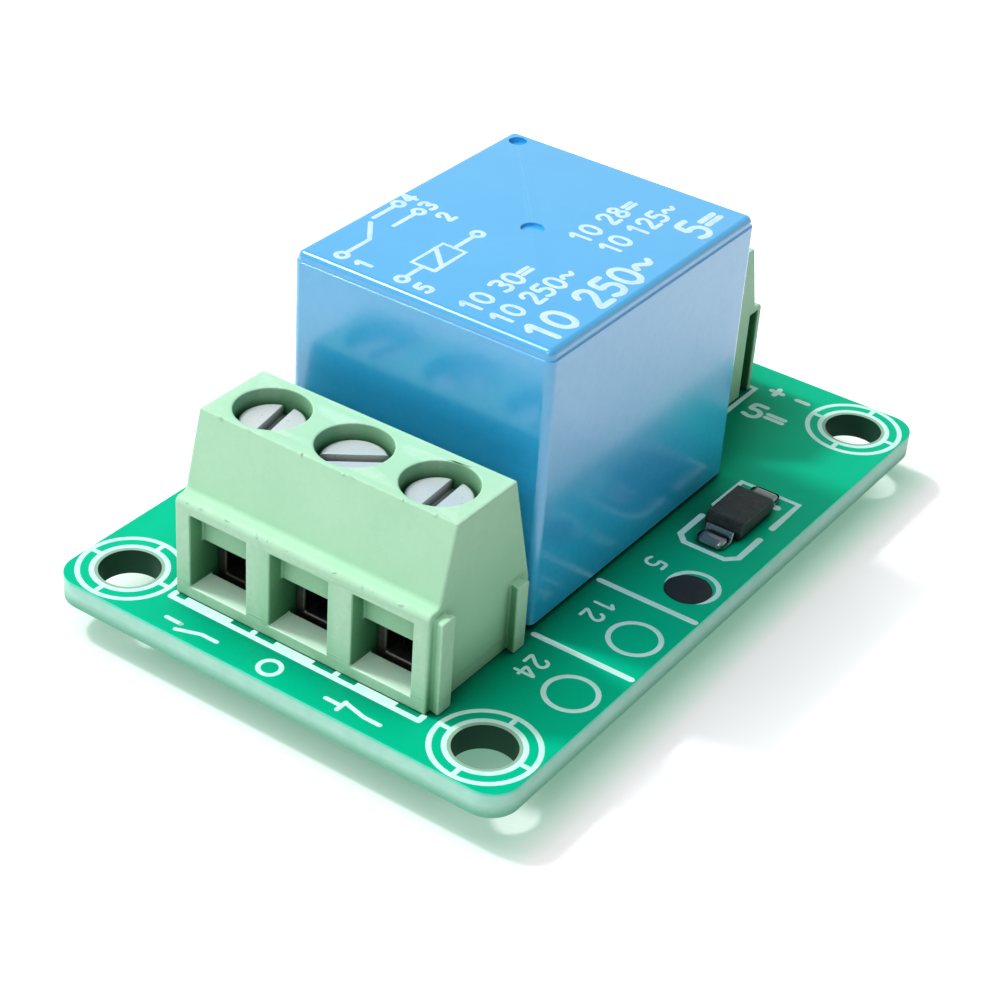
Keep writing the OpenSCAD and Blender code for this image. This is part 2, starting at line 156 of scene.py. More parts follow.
# bright walls all round, a dim ceiling over them
worldTree = world.node_tree
height = put(worldTree, "SeparateXYZ", {0: put(worldTree, "TexCoord").outputs["Generated"]}).outputs["Z"]
ambient = put(worldTree, "MapRange", {
    "Value": height, "From Min": 0.0, "From Max": worldSetup["bandTop"],
    "To Min": worldSetup["horizon"], "To Max": worldSetup["zenith"]}, interpolation_type="SMOOTHSTEP")
shown = put(worldTree, "MapRange", {
    "Value": height, "From Min": 0.35, "From Max": 0.75,
    "To Min": worldSetup["shown"], "To Max": worldSetup["glossZenith"]})
strength = put(worldTree, "Mix", {0: seenDirectly(worldTree), 2: ambient.outputs[0],
                                  3: shown.outputs[0]})
background = worldTree.nodes["Background"]
background.inputs["Color"].default_value = (1, 1, 1, 1)
worldTree.links.new(strength.outputs[0], background.inputs["Strength"])

# floor: pale paper with a glow seen directly and in reflections; the glow grows away from the board, painted
# light that fades the farther shadow, and a painted green shade tint lies right beside the board
floorSetup = {"half": 1500, "albedo": 0.82, "nearGlow": 0.34, "farGlow": 0.75,
              "paintedShadeTint": (0.46, 1.0, 0.72, 1), "paintedShadeReach": 0.0019,
              "reach": (0.0, 0.016), "footprint": (21.25, 14.0)}
bpy.ops.object.select_all(action="DESELECT")
bpy.ops.mesh.primitive_plane_add(size=2 * floorSetup["half"] * mm, location=(0, 0, 0))
floor = bpy.context.active_object
floor.name = "table_top"
floorMaterial = bpy.data.materials.new("palePaper")
floorMaterial.use_nodes = True
floorTree = floorMaterial.node_tree
floorTree.nodes.remove(floorTree.nodes["Principled BSDF"])
paper = put(floorTree, "BsdfDiffuse", {"Color": [floorSetup["albedo"]] * 3 + [1]})
spread = put(floorTree, "SeparateXYZ", {0: ownPlace(floorTree)})
beyond = []
for axis, half in zip("XY", floorSetup["footprint"]):
    folded = maths(floorTree, "ABSOLUTE", spread.outputs[axis])
    beyond.append(maths(floorTree, "MAXIMUM", maths(floorTree, "SUBTRACT", folded, half * mm), 0.0))
outside = put(floorTree, "CombineXYZ", {0: beyond[0], 1: beyond[1]}).outputs[0]
away = put(floorTree, "VectorMath", {0: outside}, operation="LENGTH").outputs["Value"]
level = put(floorTree, "MapRange", {
    "Value": away, "From Min": floorSetup["reach"][0], "From Max": floorSetup["reach"][1],
    "To Min": floorSetup["nearGlow"], "To Max": floorSetup["farGlow"]}, interpolation_type="SMOOTHSTEP")
lift = maths(floorTree, "MULTIPLY", seenDirectly(floorTree), level.outputs[0])
# painted shade: green tint on the floor close to the board
shadeTintMask = put(floorTree, "MapRange", {
    "Value": away, "From Min": 0.0, "From Max": floorSetup["paintedShadeReach"]}, interpolation_type="SMOOTHSTEP")
glowColour = put(floorTree, "Mix", {0: shadeTintMask.outputs[0], 6: floorSetup["paintedShadeTint"], 7: (1, 1, 1, 1)},
                 data_type="RGBA")
glow = put(floorTree, "Emission", {"Color": glowColour.outputs[2], "Strength": lift})
paperSum = put(floorTree, "AddShader", {0: paper.outputs[0], 1: glow.outputs[0]})
floorTree.links.new(paperSum.outputs[0], floorTree.nodes["Material Output"].inputs["Surface"])
floor.data.materials.append(floorMaterial)
print("stage: camera, lamps and table ready")

# shared finishes


def paint(red, green, blue):
    linear = []
    for value in (red, green, blue):
        value /= 255
        linear.append(value / 12.92 if value < 0.04045 else ((value + 0.055) / 1.055) ** 2.4)
    return (*linear, 1)


def newGroup(name, inputs, outputs):
    tree = bpy.data.node_groups.new(name, "ShaderNodeTree")
    kinds = {"c": "NodeSocketColor", "f": "NodeSocketFloat", "v": "NodeSocketVector"}
    for label, kind, value in inputs:
        socket = tree.interface.new_socket(name=label, in_out="INPUT", socket_type=kinds[kind])
        if value is not None:
            socket.default_value = value
    for label, kind in outputs:
        tree.interface.new_socket(name=label, in_out="OUTPUT", socket_type=kinds[kind])
    start = tree.nodes.new("NodeGroupInput")
    end = tree.nodes.new("NodeGroupOutput")
    return tree, start, end


def placeGroup(tree, group, sockets):
    node = tree.nodes.new("ShaderNodeGroup")
    node.node_tree = group
    for key, value in sockets.items():
        if isinstance(value, bpy.types.NodeSocket):
            tree.links.new(value, node.inputs[key])
        else:
            node.inputs[key].default_value = value
    return node


def blendColours(tree, factor, first, second):
    node = put(tree, "Mix", {0: factor, 6: first, 7: second}, data_type="RGBA")
    return node.outputs[2]


def stretched(tree, value, low, high, toLow=0.0, toHigh=1.0):
    node = put(tree, "MapRange", {"Value": value, "From Min": low, "From Max": high,
                                  "To Min": toLow, "To Max": toHigh})
    return node.outputs[0]


def times(tree, first, second):
    return maths(tree, "MULTIPLY", first, second)


# clouds of a second colour, sparse specks, a fine grain and a roughness that follows the clouds
mottle, start, end = newGroup("mottle", [
    ("Colour", "c", (0.5, 0.5, 0.5, 1)), ("Cloud Colour", "c", (0.4, 0.4, 0.4, 1)),
    ("Cloud Scale", "f", 300), ("Cloud Amount", "f", 0.5),
    ("Speck Colour", "c", (0.8, 0.8, 0.8, 1)), ("Speck Scale", "f", 3000), ("Speck Amount", "f", 0.3),
    ("Grain Scale", "f", 6000), ("Rough Low", "f", 0.3), ("Rough High", "f", 0.45),
], [("Colour", "c"), ("Roughness", "f"), ("Height", "f"), ("Clouds", "f")])
where = ownPlace(mottle)
clouds = put(mottle, "TexNoise", {"Vector": where, "Scale": start.outputs["Cloud Scale"],
                                  "Detail": 5.0, "Roughness": 0.6}).outputs["Fac"]
cloudMask = stretched(mottle, clouds, 0.33, 0.67)
toned = blendColours(mottle, times(mottle, cloudMask, start.outputs["Cloud Amount"]),
                     start.outputs["Colour"], start.outputs["Cloud Colour"])
specks = put(mottle, "TexNoise", {"Vector": where, "Scale": start.outputs["Speck Scale"],
                                  "Detail": 2.0, "Roughness": 0.5}).outputs["Fac"]
speckMask = stretched(mottle, specks, 0.64, 0.72)
specked = blendColours(mottle, times(mottle, speckMask, start.outputs["Speck Amount"]),
                       toned, start.outputs["Speck Colour"])
grain = put(mottle, "TexNoise", {"Vector": where, "Scale": start.outputs["Grain Scale"],
                                 "Detail": 3.0, "Roughness": 0.65}).outputs["Fac"]
roughness = put(mottle, "MapRange", {"Value": cloudMask, "To Min": start.outputs["Rough Low"],
                                     "To Max": start.outputs["Rough High"]}).outputs[0]
for label, value in (("Colour", specked), ("Roughness", roughness), ("Height", grain),
                     ("Clouds", cloudMask)):
    mottle.links.new(value, end.inputs[label])

# worn outer edges with a painted highlight along them, in a lighter tone, broken up by noise
edgeWearAndHighlight, start, end = newGroup("edgeWearAndHighlight", [
    ("Colour", "c", (0.5, 0.5, 0.5, 1)), ("Edge Colour", "c", (0.8, 0.8, 0.8, 1)),
    ("Amount", "f", 0.5), ("Low", "f", 0.53), ("High", "f", 0.6), ("Break Scale", "f", 2500),
], [("Colour", "c"), ("Mask", "f"), ("Height", "f")])
point = put(edgeWearAndHighlight, "NewGeometry").outputs["Pointiness"]
edge = put(edgeWearAndHighlight, "MapRange", {"Value": point, "From Min": start.outputs["Low"],
                                  "From Max": start.outputs["High"]}).outputs[0]
where = ownPlace(edgeWearAndHighlight)
broken = put(edgeWearAndHighlight, "TexNoise", {"Vector": where, "Scale": start.outputs["Break Scale"],
                                    "Detail": 3.0}).outputs["Fac"]
uneven = times(edgeWearAndHighlight, edge, stretched(edgeWearAndHighlight, broken, 0.3, 0.62, 0.35, 1.0))
nicks = times(edgeWearAndHighlight, edge, stretched(edgeWearAndHighlight, broken, 0.6, 0.7, 0.0, -1.0))
result = blendColours(edgeWearAndHighlight, times(edgeWearAndHighlight, uneven, start.outputs["Amount"]),
                      start.outputs["Colour"], start.outputs["Edge Colour"])
for label, value in (("Colour", result), ("Mask", uneven), ("Height", nicks)):
    edgeWearAndHighlight.links.new(value, end.inputs[label])

# painted shade: ambient occlusion darkens hollows, creases and recesses towards a darker tone of the same
# material
paintedHollowShade, start, end = newGroup("paintedHollowShade", [
    ("Colour", "c", (0.5, 0.5, 0.5, 1)), ("Shade Colour", "c", (0.1, 0.1, 0.1, 1)),
    ("Distance", "f", 0.003), ("Amount", "f", 0.8), ("Low", "f", 0.2), ("High", "f", 0.9),
], [("Colour", "c"), ("Mask", "f")])
openness = put(paintedHollowShade, "AmbientOcclusion", {"Distance": start.outputs["Distance"]}, samples=8).outputs["AO"]
closed = put(paintedHollowShade, "MapRange", {
    "Value": openness, "From Min": start.outputs["High"], "From Max": start.outputs["Low"]},
    interpolation_type="SMOOTHSTEP").outputs[0]
deepened = blendColours(paintedHollowShade, times(paintedHollowShade, closed, start.outputs["Amount"]),
                        start.outputs["Colour"], start.outputs["Shade Colour"])
paintedHollowShade.links.new(deepened, end.inputs["Colour"])
paintedHollowShade.links.new(closed, end.inputs["Mask"])

# fine lines that run one way, as rolling, milling or wiping leaves
drawnLines, start, end = newGroup("drawnLines", [
    ("Stretch", "v", (1, 1, 1)), ("Scale", "f", 4000), ("Low", "f", 0.35), ("High", "f", 0.65),
], [("Height", "f")])
where = ownPlace(drawnLines)
longWay = put(drawnLines, "VectorMath", {0: where, 1: start.outputs["Stretch"]},
              operation="MULTIPLY").outputs[0]
lines = put(drawnLines, "TexNoise", {"Vector": longWay, "Scale": start.outputs["Scale"],
                                     "Detail": 3.0, "Roughness": 0.6}).outputs["Fac"]
lineMask = put(drawnLines, "MapRange", {"Value": lines, "From Min": start.outputs["Low"],
                                        "From Max": start.outputs["High"]}).outputs[0]
drawnLines.links.new(lineMask, end.inputs["Height"])


def newMaterial(name, **fixed):
    material = bpy.data.materials.new(name)
    material.use_nodes = True
    tree = material.node_tree
    shader = tree.nodes["Principled BSDF"]
    for key, value in fixed.items():
        shader.inputs[key.replace("_", " ")].default_value = value
    return material, tree, shader


def addBump(tree, shader, heights):
    normal = None
    for height, strengthOf, distance in heights:
        sockets = {"Height": height, "Strength": strengthOf, "Distance": distance * mm}
        if normal is not None:
            sockets["Normal"] = normal
        normal = put(tree, "Bump", sockets).outputs[0]
    tree.links.new(normal, shader.inputs["Normal"])


def wearBase(tree, shader, colour, base):
    tree.links.new(colour, shader.inputs["Base Color"])
    tree.links.new(base.outputs["Roughness"], shader.inputs["Roughness"])


def mottled(tree, look):
    return placeGroup(tree, mottle, {
        "Colour": look["colour"], "Cloud Colour": look["cloud"], "Cloud Scale": look["cloudScale"],
        "Cloud Amount": look["cloudAmount"], "Speck Colour": look["speck"],
        "Speck Scale": look["speckScale"], "Speck Amount": look["speckAmount"],
        "Grain Scale": look["grainScale"], "Rough Low": look["rough"][0],
        "Rough High": look["rough"][1]})


def moulded(name, look, extra=None):
    material, tree, shader = newMaterial(name, Metallic=0.0, **look.get("fixed", {}))
    base = mottled(tree, look)
    wornAndLit = placeGroup(tree, edgeWearAndHighlight, {
        "Colour": base.outputs["Colour"], "Edge Colour": look["edge"],
        "Amount": look["edgeAmount"], "Low": look["edgeRange"][0], "High": look["edgeRange"][1]})
    colour = wornAndLit.outputs["Colour"]
    heights = [(base.outputs["Height"], look["grainDepth"], 0.02),
               (wornAndLit.outputs["Height"], look.get("nicks", 0.3), 0.05)]
    # painted shade in hollows, weaker on faces that look upwards
    if "deep" in look:
        amount = stretched(tree, facingUp(tree), 0.6, 0.85, look["deepAmount"], look["deepAmount"] * 0.15)
        deeper = placeGroup(tree, paintedHollowShade, {"Colour": colour, "Amount": amount, **look["deep"]})
        colour = deeper.outputs["Colour"]
    if extra:
        colour, more = extra(tree, colour)
        heights += more
    wearBase(tree, shader, colour, base)
    addBump(tree, shader, heights)
    return material


def metal(name, look):
    material, tree, shader = newMaterial(name, Metallic=look.get("metallic", 1.0))
    base = mottled(tree, look)
    wornAndLit = placeGroup(tree, edgeWearAndHighlight, {
        "Colour": base.outputs["Colour"], "Edge Colour": look["edge"],
        "Amount": look["edgeAmount"], "Low": 0.53, "High": 0.62})
    drawn = placeGroup(tree, drawnLines, {"Stretch": look["stretch"], "Scale": look["lineScale"]})
    colour = wornAndLit.outputs["Colour"]
    # painted shade in hollows such as the screw slots
    if "deep" in look:
        colour = placeGroup(tree, paintedHollowShade, {"Colour": colour, **look["deep"]}).outputs["Colour"]
    wearBase(tree, shader, colour, base)
    addBump(tree, shader, [(base.outputs["Height"], look["grainDepth"], 0.02),
                           (drawn.outputs["Height"], look["lineDepth"], 0.02)])
    return material


def metalLook(colour, cloud, rough, **more):
    look = {"colour": colour, "cloud": cloud, "cloudScale": 700, "cloudAmount": 0.6,
            "speck": cloud, "speckScale": 5000, "speckAmount": 0.3, "grainScale": 9000,
            "rough": rough, "edge": (0.95, 0.95, 0.95, 1), "edgeAmount": 0.5,
            "grainDepth": 0.15, "stretch": (1, 0.06, 1), "lineScale": 9000, "lineDepth": 0.12}
    look.update(more)
    return look


housingLook = {
    "colour": paint(182, 232, 196), "cloud": paint(168, 224, 184), "cloudScale": 260,
    "cloudAmount": 0.5, "speck": paint(205, 244, 215), "speckScale": 5200, "speckAmount": 0.25,
    "grainScale": 7000, "rough": (0.42, 0.55), "edge": paint(222, 250, 230), "edgeAmount": 0.4,
    "edgeRange": (0.52, 0.6), "grainDepth": 0.1, "nicks": 0.3,
    # painted shade colour and reach for the housings' hollows
    "deep": {"Shade Colour": paint(30, 112, 62), "Distance": 0.0055, "Low": 0.12, "High": 0.8},
    "deepAmount": 0.95, "fixed": {"Specular_IOR_Level": 0.14}, "partingHeight": 0.9,
    # painted light on the pocket floors: height range and colour
    "paintedLitFloorsRange": (4.0, 3.6), "paintedLitFloorsColour": paint(218, 255, 230),
}
caseLook = {
    "colour": paint(34, 176, 240), "cloud": paint(26, 168, 234), "cloudScale": 150,
    "cloudAmount": 0.5, "speck": paint(60, 175, 235), "speckScale": 6500, "speckAmount": 0.12,
    "grainScale": 5200, "rough": (0.2, 0.27), "edge": paint(120, 215, 250), "edgeAmount": 0.35,
    "edgeRange": (0.52, 0.6), "grainDepth": 0.05, "nicks": 0.15,
    "fixed": {"Specular_IOR_Level": 1.0, "Coat_Weight": 0.55, "Coat_Roughness": 0.12},
}
baseLook = {
    "colour": paint(38, 41, 44), "cloud": paint(30, 32, 35), "cloudScale": 300,
    "cloudAmount": 0.5, "speck": paint(70, 74, 78), "speckScale": 6000, "speckAmount": 0.2,
    "grainScale": 6500, "rough": (0.45, 0.6), "edge": paint(80, 84, 88), "edgeAmount": 0.4,
    "edgeRange": (0.52, 0.6), "grainDepth": 0.2,
}
bobbinLook = {
    "colour": paint(236, 232, 218), "cloud": paint(226, 220, 202), "cloudScale": 260,
    "cloudAmount": 0.5, "speck": paint(210, 200, 180), "speckScale": 5000, "speckAmount": 0.15,
    "grainScale": 6500, "rough": (0.4, 0.5), "edge": paint(250, 248, 240), "edgeAmount": 0.4,
    "edgeRange": (0.52, 0.6), "grainDepth": 0.12,
}
diodeLook = {
    "colour": paint(24, 31, 30), "cloud": paint(15, 21, 22), "cloudScale": 500,
    "cloudAmount": 0.6, "speck": paint(70, 80, 78), "speckScale": 7000, "speckAmount": 0.25,
    "grainScale": 9000, "rough": (0.34, 0.46), "edge": paint(84, 96, 92), "edgeAmount": 0.45,
    "edgeRange": (0.52, 0.6), "grainDepth": 0.25, "fixed": {"Specular_IOR_Level": 0.2},
}


# a parting line round each housing, and painted light on the up-facing floors of its pockets
def housingMarks(tree, colour):
    look = housingLook
    height = put(tree, "SeparateXYZ", {0: ownPlace(tree)}).outputs["Z"]
    away = maths(tree, "SUBTRACT", height, (boardTop + look["partingHeight"]) * mm)
    away = maths(tree, "ABSOLUTE", away)
    parting = stretched(tree, away, 0.02 * mm, 0.07 * mm, 1.0, 0.0)
    # painted light: up-facing faces low on the housing turn lighter
    low = stretched(tree, height, *[(boardTop + limit) * mm for limit in look["paintedLitFloorsRange"]])
    paintedLitFloors = times(tree, stretched(tree, facingUp(tree), 0.6, 0.8), low)
    colour = blendColours(tree, paintedLitFloors, colour, look["paintedLitFloorsColour"])
    return colour, [(parting, 0.5, 0.03)]


finishes = {
    "housing_green": moulded("housingGreen", housingLook, housingMarks),
    "case_blue": moulded("caseBlue", caseLook),
    "base_black": moulded("baseBlack", baseLook),
    "bobbin_white": moulded("bobbinWhite", bobbinLook),
    "diode_black": moulded("diodeBlack", diodeLook),
    "zinc_steel": metal("zincSteel", metalLook(
        paint(232, 236, 236), paint(208, 214, 214), (0.4, 0.55), metallic=0.6,
        # painted shade in the screws' slots and round their seats
        deep={"Shade Colour": paint(52, 66, 62), "Distance": 0.0007, "Amount": 0.95, "Low": 0.35, "High": 0.8},
        speck=paint(150, 155, 160), speckScale=4200, speckAmount=0.35, grainDepth=0.2)),
    # painted shade: the plated cages are coloured dark grey, with little edge lightening, as they sit in the
    # shaded openings
    "plated_cage": metal("platedCageInShade", metalLook(
        paint(84, 84, 78), paint(62, 62, 58), (0.4, 0.55), edgeAmount=0.08)),
    "tinned_pin": metal("tinnedPin", metalLook(
        paint(214, 216, 218), paint(190, 192, 196), (0.25, 0.42), cloudScale=900)),
    "solder": metal("solderTin", metalLook(
        paint(210, 213, 216), paint(182, 186, 190), (0.2, 0.4), cloudScale=1100,
        lineDepth=0.0, grainDepth=0.15, grainScale=3000)),
    "soft_iron": metal("softIron", metalLook(
        paint(172, 174, 178), paint(146, 148, 152), (0.35, 0.55))),
    "spring_bronze": metal("springBronze", metalLook(
        paint(214, 160, 104), paint(186, 130, 80), (0.28, 0.42), stretch=(0.06, 1, 1))),
    "contact_silver": metal("contactSilver", metalLook(
        paint(226, 224, 218), paint(196, 194, 190), (0.25, 0.42))),
    "terminal_brass": metal("terminalBrass", metalLook(
        paint(218, 186, 118), paint(190, 156, 92), (0.28, 0.45), stretch=(1, 1, 0.06))),
}

reflowed = metal("reflowedTin", metalLook(
    paint(128, 138, 138), paint(92, 102, 104), (0.1, 0.2), cloudScale=1100, lineDepth=0.0,
    grainDepth=0.1, grainScale=3000, edgeAmount=0.2))
trackLacquer = moulded("trackLacquer", {
    "colour": paint(64, 208, 164), "cloud": paint(44, 192, 148), "cloudScale": 220,
    "cloudAmount": 0.5, "speck": paint(120, 225, 190), "speckScale": 5000, "speckAmount": 0.1,
    "grainScale": 4500, "rough": (0.3, 0.42), "edge": paint(140, 230, 200), "edgeAmount": 0.4,
    "edgeRange": (0.52, 0.6), "grainDepth": 0.1})

# fine enamelled wire, one turn beside another
material, tree, shader = newMaterial("coilCopper", Metallic=0.9, Coat_Weight=0.4)
copperLook = {
    "colour": paint(176, 92, 44), "cloud": paint(148, 72, 32), "cloudScale": 500,
    "cloudAmount": 0.6, "speck": paint(215, 140, 90), "speckScale": 4000, "speckAmount": 0.3,
    "grainScale": 8000, "rough": (0.25, 0.4), "turnScale": 110}
base = mottled(tree, copperLook)
turns = put(tree, "TexWave", {"Vector": ownPlace(tree), "Scale": copperLook["turnScale"], "Distortion": 0.0},
            wave_type="BANDS", bands_direction="Z", wave_profile="SIN").outputs["Fac"]
wearBase(tree, shader, base.outputs["Colour"], base)
addBump(tree, shader, [(turns, 0.8, 0.08), (base.outputs["Height"], 0.1, 0.02)])
finishes["coil_copper"] = material

# laminate with lacquer on its two faces, bare glass cloth at its edge and round the holes, and painted shade
# on the walls of the mounting holes
boardLook = {
    "lacquer": paint(0, 196, 149), "lacquerCloud": paint(0, 187, 140), "bare": paint(150, 190, 165),
    "edgeTop": paint(96, 246, 216), "edgeMiddle": paint(196, 250, 232), "edgeLow": paint(126, 200, 170),
    # painted shade colour and reach for the board's hollows and beside the parts on it
    "deep": {"Shade Colour": paint(0, 62, 45), "Distance": 0.0075, "Amount": 0.95, "Low": 0.25, "High": 0.85},
    "holeX": boardHigh.x - 2.85, "holeY": boardHigh.y - 2.85, "bareRadius": 1.82,
    "holeWallShade": paint(42, 84, 66), "weaveScale": 260,
}
material, tree, shader = newMaterial("boardLaminate", Metallic=0.0, Specular_IOR_Level=0.05)
place = put(tree, "SeparateXYZ", {0: ownPlace(tree)})
sides = []
for axis in "XY":
    folded = maths(tree, "ABSOLUTE", place.outputs[axis])
    sides.append(maths(tree, "SUBTRACT", folded, boardLook["hole" + axis] * mm))
toHole = put(tree, "CombineXYZ", {0: sides[0], 1: sides[1]}).outputs[0]
holeRange = put(tree, "VectorMath", {0: toHole}, operation="LENGTH").outputs["Value"]
nearHole = stretched(tree, holeRange, (boardLook["bareRadius"] + 0.05) * mm,
                     (boardLook["bareRadius"] - 0.05) * mm)
lacquered = mottled(tree, {
    "colour": boardLook["lacquer"], "cloud": boardLook["lacquerCloud"], "cloudScale": 220,
    "cloudAmount": 0.6, "speck": paint(30, 220, 180), "speckScale": 5000, "speckAmount": 0.08,
    "grainScale": 4500, "rough": (0.3, 0.42)})
# painted shade: the lacquer darkens in hollows and beside the parts standing on it
shaded = placeGroup(tree, paintedHollowShade, {"Colour": lacquered.outputs["Colour"], **boardLook["deep"]})
ramp = put(tree, "ValToRGB", {0: stretched(tree, place.outputs["Z"], boardUnder * mm, boardTop * mm)})
ramp.color_ramp.elements[0].color = boardLook["edgeLow"]
ramp.color_ramp.elements[1].color = boardLook["edgeTop"]
ramp.color_ramp.elements[0].position = 0.12
ramp.color_ramp.elements[1].position = 0.96
middle = ramp.color_ramp.elements.new(0.5)
middle.color = boardLook["edgeMiddle"]
upper = ramp.color_ramp.elements.new(0.84)
upper.color = boardLook["edgeMiddle"]
sawn = mottled(tree, {
    "colour": ramp.outputs["Color"], "cloud": paint(140, 215, 188), "cloudScale": 900,
    "cloudAmount": 0.3, "speck": paint(230, 255, 245), "speckScale": 6000, "speckAmount": 0.15,
    "grainScale": 7000, "rough": (0.55, 0.75)})
flatFace = stretched(tree, maths(tree, "ABSOLUTE", facingUp(tree)), 0.55, 0.75)
# painted shade: the walls of the mounting holes are coloured dark
wall = blendColours(tree, nearHole, sawn.outputs["Colour"], boardLook["holeWallShade"])
face = blendColours(tree, nearHole, shaded.outputs["Colour"], boardLook["bare"])
colour = blendColours(tree, flatFace, wall, face)
weave = put(tree, "TexWave", {"Vector": ownPlace(tree), "Scale": boardLook["weaveScale"], "Distortion": 1.5,
                              "Detail": 2.0}, bands_direction="DIAGONAL").outputs["Fac"]
wearBase(tree, shader, colour, lacquered)
addBump(tree, shader, [(lacquered.outputs["Height"], 0.06, 0.02), (weave, 0.02, 0.02)])
finishes["board_laminate"] = material

# printing inks
inkLooks = {
    "boardInk": {"colour": paint(222, 255, 248), "cloud": paint(192, 250, 236), "rough": (0.5, 0.65)},
    "caseInk": {"colour": paint(214, 240, 250), "cloud": paint(178, 222, 242), "rough": (0.45, 0.6)},
    "markerInk": {"colour": paint(12, 26, 30), "cloud": paint(6, 16, 20), "rough": (0.35, 0.5)},
}
inkGrain = {"cloudScale": 1400, "cloudAmount": 0.7, "speckScale": 7000, "speckAmount": 0.5,
            "grainScale": 9000}
inks = {}
for inkName, look in inkLooks.items():
    material, tree, shader = newMaterial(inkName, Metallic=0.0, Specular_IOR_Level=0.25)
    base = mottled(tree, {**inkGrain, **look, "speck": look["cloud"]})
    wearBase(tree, shader, base.outputs["Colour"], base)
    addBump(tree, shader, [(base.outputs["Height"], 0.3, 0.01)])
    inks[inkName] = material
print("stage: finishes ready")

# modelling helpers


def workIn(mode):
    bpy.ops.object.mode_set(mode=mode)


def clearPick():
    if bpy.context.mode != "OBJECT":
        workIn("OBJECT")
    bpy.ops.object.select_all(action="DESELECT")


def pickOnly(*chosen):
    clearPick()
    for item in chosen:
        item.select_set(True)
    bpy.context.view_layer.objects.active = chosen[0]


def pickFaces(obj, test):
    pickOnly(obj)
    workIn("EDIT")
    bpy.ops.mesh.select_mode(type="FACE")
    bpy.ops.mesh.select_all(action="DESELECT")
    workIn("OBJECT")
    for face in obj.data.polygons:
        face.select = bool(test(face.center, face.normal))
    workIn("EDIT")


def wholeOutwards():
    bpy.ops.mesh.select_all(action="SELECT")
    bpy.ops.mesh.normals_make_consistent(inside=False)
    workIn("OBJECT")


def merged(parts):
    pickOnly(*parts)
    bpy.ops.object.join()
    return parts[0]


def modify(obj, kind, **values):
    pickOnly(obj)
    bpy.ops.object.modifier_add(type=kind)
    modifier = obj.modifiers[-1]
    for key, value in values.items():
        setattr(modifier, key, value)
    bpy.ops.object.modifier_apply(modifier=modifier.name)


def settle(obj):
    pickOnly(obj)
    bpy.ops.object.transform_apply(location=True, rotation=True, scale=True)


def rescaled(obj, factor):
    pickOnly(obj)
    bpy.ops.transform.resize(value=(factor, factor, factor), center_override=(0, 0, 0))
    bpy.ops.object.transform_apply(location=True, rotation=True, scale=True)


def finishPiece(obj, name, body, material, stands=(), smooth=35):
    settle(obj)
    bpy.ops.object.shade_smooth_by_angle(angle=math.radians(smooth))
    modify(obj, "WEIGHTED_NORMAL", keep_sharp=True, weight=60)
    rescaled(obj, mm)
    obj.name = name
    obj.data.name = name
    obj.data.materials.clear()
    obj.data.materials.append(material)
    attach(obj, body)
    if stands:
        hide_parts(*stands)
    clearPick()
    return obj


def copyNode(name):
    pickOnly(nodes[name])
    bpy.ops.object.duplicate()
    obj = bpy.context.active_object
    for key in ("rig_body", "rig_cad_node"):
        if key in obj:
            del obj[key]
    obj.parent = None
    rescaled(obj, 1 / mm)
    workIn("EDIT")
    bpy.ops.mesh.select_all(action="SELECT")
    bpy.ops.mesh.remove_doubles(threshold=0.002)
    bpy.ops.mesh.dissolve_limited(angle_limit=math.radians(0.5))
    workIn("OBJECT")
    return obj


def copyOf(obj):
    pickOnly(obj)
    bpy.ops.object.duplicate()
    return bpy.context.active_object


def bevelled(obj, width, segments=2, angle=32):
    modify(obj, "BEVEL", width=width, segments=segments, limit_method="ANGLE",
           angle_limit=math.radians(angle), use_clamp_overlap=False)
    return obj


# nodes that stay as they are
slotOf = {}
for entry in frame["record"].get("materials", []):
    for member in entry.get("nodes", []):
        slotOf[member] = entry["slot"]
bodyOf = {}
for bodyName, members in frame["record"]["behaviour"]["bodies"].items():
    for member in members:
        bodyOf[member] = bodyName
for nodeName, node in nodes.items():
    current = node.material_slots[0].material.name.split(".")[0]
    slotOf.setdefault(nodeName, current)
    for slot in node.material_slots:
        slot.material = finishes[slotOf[nodeName]]

# housings, cages and contacts
softened = {
    "output_housing": 0.1, "input_housing": 0.1, "relay_base": 0.1, "diode_body": 0.09,
    "diode_leads": 0.05, "coil_pins": 0.05, "common_terminal": 0.06,
}
for number in (1, 2, 3):
    softened["output_cage_%d" % number] = 0.12
    softened["output_contact_%d" % number] = 0.1
for number in (1, 2):
    softened["input_cage_%d" % number] = 0.12
    softened["input_contact_%d" % number] = 0.1
dressed = {}
for nodeName, width in softened.items():
    bevelAngle, smoothAngle = (20, 20) if "housing" in nodeName else (32, 35)
    piece = bevelled(copyNode(nodeName), width, 3 if width > 0.1 else 2, bevelAngle)
    dressed[nodeName] = finishPiece(piece, nodeName + "_shell", bodyOf[nodeName],
                                    finishes[slotOf[nodeName]], [nodeName], smoothAngle)
    print("piece:", nodeName, len(dressed[nodeName].data.polygons))
dressed["diode_leads"].data.materials[0] = reflowed
print("stage: moulded and bent pieces ready")


def pickUpright(obj):
    pickOnly(obj)
    workIn("EDIT")
    bpy.ops.mesh.select_mode(type="EDGE")
    bpy.ops.mesh.select_all(action="DESELECT")
    workIn("OBJECT")
    points = obj.data.vertices
    for side in obj.data.edges:
        run = points[side.vertices[1]].co - points[side.vertices[0]].co
        side.select = abs(run.z) > 0.5 and Vector((run.x, run.y)).length < 0.01
    workIn("EDIT")


def block(low, high):
    clearPick()
    bpy.ops.mesh.primitive_cube_add(size=1, location=[(a + b) / 2 for a, b in zip(low, high)])
    solid = bpy.context.active_object
    solid.scale = [b - a for a, b in zip(low, high)]
    settle(solid)
    return solid


def cutAway(obj, cutters):
    for cutter in cutters:
        modify(obj, "BOOLEAN", operation="DIFFERENCE", object=cutter, solver="EXACT")
        bpy.data.objects.remove(cutter)


